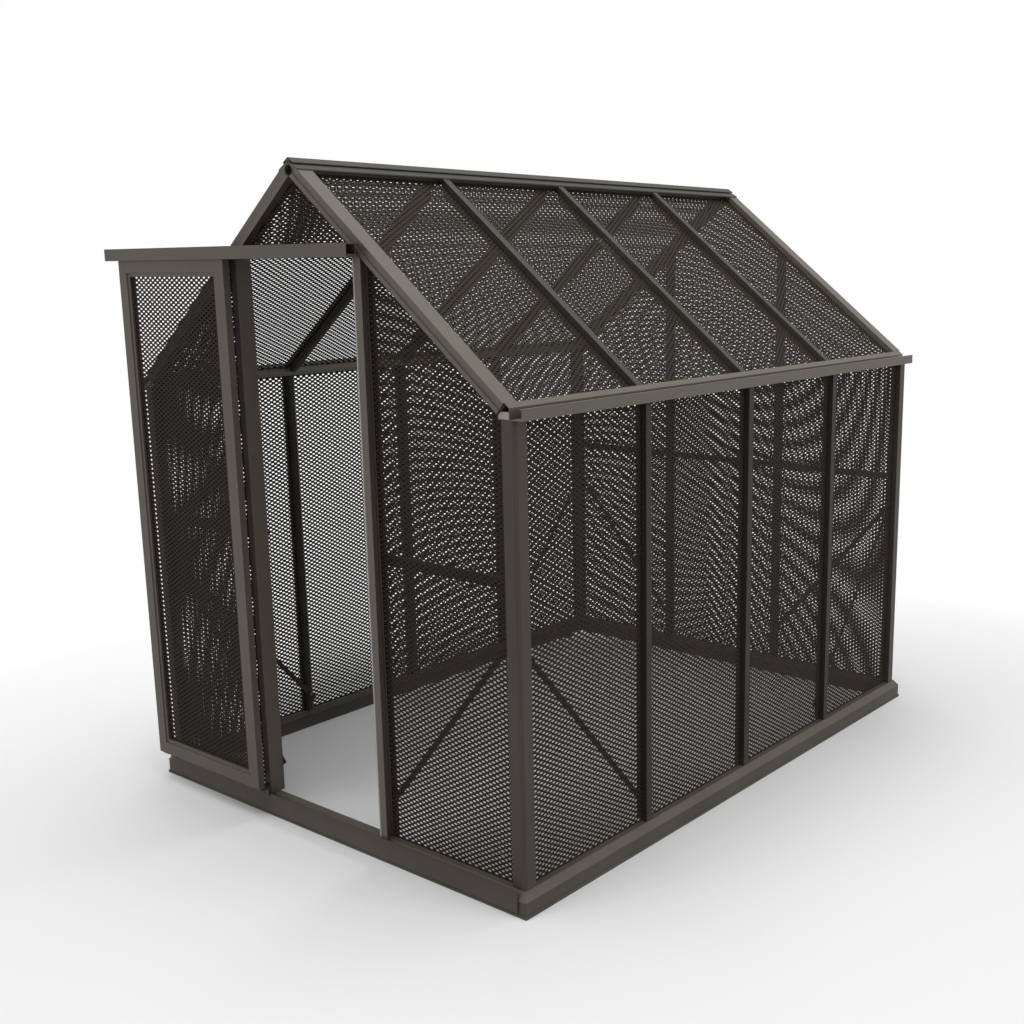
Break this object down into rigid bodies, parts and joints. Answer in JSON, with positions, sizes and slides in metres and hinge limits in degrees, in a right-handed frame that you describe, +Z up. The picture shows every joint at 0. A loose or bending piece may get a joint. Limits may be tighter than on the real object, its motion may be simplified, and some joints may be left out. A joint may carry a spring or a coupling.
{
  "type": "shade house",
  "caption": "Gabled walk-in garden shade house: dark bronze aluminium bars glazed with perforated sheet, on a mitred base frame, with a sliding door hung from a head rail",
  "frame": {"origin": "on the ground, in the middle of the base frame and of the four anchor holes", "axes": "+Z up, +Y from the door's gable to the back gable, +X to the right when facing the door"},
  "size_m": [1.944, 2.617, 2.288],
  "materials": {
    "frame_bronze": "satin dark bronze powder coat",
    "brace_bronze": "satin dark bronze powder coat",
    "perforated_sheet": "matt dark bronze powder coat, perforated",
    "black_nylon": "matt moulded",
    "zinc_steel": "zinc plated",
    "grey_plastic": "satin moulded"
  },
  "bodies": {
    "frame": {"back_braces": "brace_bronze", "back_panels": "perforated_sheet", "back_stud_left": "frame_bronze", "back_stud_right": "frame_bronze", "base_rail_back": "frame_bronze", "base_rail_front": "frame_bronze", "base_rail_left": "frame_bronze", "base_rail_right": "frame_bronze", "corner_post_back_left": "frame_bronze", "corner_post_back_right": "frame_bronze", "corner_post_front_left": "frame_bronze", "corner_post_front_right": "frame_bronze", "door_header": "frame_bronze", "door_jamb_left": "frame_bronze", "door_jamb_right": "frame_bronze", "door_track": "frame_bronze", "eave_end_plugs": "grey_plastic", "front_braces": "brace_bronze", "front_gable_panel": "perforated_sheet", "front_panels": "perforated_sheet", "girt_back": "brace_bronze", "girt_front_left": "brace_bronze", "girt_front_right": "brace_bronze", "gutter_left": "frame_bronze", "gutter_right": "frame_bronze", "head_rail": "frame_bronze", "left_braces": "brace_bronze", "left_roof_bars": "frame_bronze", "left_roof_panels": "perforated_sheet", "left_stud_1": "frame_bronze", "left_stud_2": "frame_bronze", "left_stud_3": "frame_bronze", "left_wall_panels": "perforated_sheet", "rafter_back_left": "frame_bronze", "rafter_back_right": "frame_bronze", "rafter_front_left": "frame_bronze", "rafter_front_right": "frame_bronze", "rail_stops": "black_nylon", "ridge_bar": "frame_bronze", "right_braces": "brace_bronze", "right_roof_bars": "frame_bronze", "right_roof_panels": "perforated_sheet", "right_stud_1": "frame_bronze", "right_stud_2": "frame_bronze", "right_stud_3": "frame_bronze", "right_wall_panels": "perforated_sheet", "sill_back": "frame_bronze", "sill_front": "frame_bronze", "sill_left": "frame_bronze", "sill_right": "frame_bronze"},
    "door": {"door_stile_left": "frame_bronze", "door_stile_right": "frame_bronze", "door_top_rail": "frame_bronze", "door_bottom_rail": "frame_bronze", "door_panel": "perforated_sheet", "door_hangers": "zinc_steel", "roller_axles": "zinc_steel", "door_shoes": "black_nylon"},
    "roller_left": {"roller_left": "black_nylon"},
    "roller_right": {"roller_right": "black_nylon"}
  },
  "joints": [
    {"name": "door_slide", "type": "slide", "parent": "frame", "child": "door", "axis": [1, 0, 0], "range_m": [0, 0.603]},
    {"name": "roller_left_spin", "type": "hinge", "parent": "door", "child": "roller_left", "pos_m": [-0.845, -1.301, 2.00005], "axis": [0, 1, 0], "continuous": true},
    {"name": "roller_right_spin", "type": "hinge", "parent": "door", "child": "roller_right", "pos_m": [-0.361, -1.301, 2.00005], "axis": [0, 1, 0], "continuous": true}
  ],
  "couplings": [
    {"joint": "roller_left_spin", "follows": "door_slide", "rad_per_m": 100},
    {"joint": "roller_right_spin", "follows": "door_slide", "rad_per_m": 100}
  ]
}
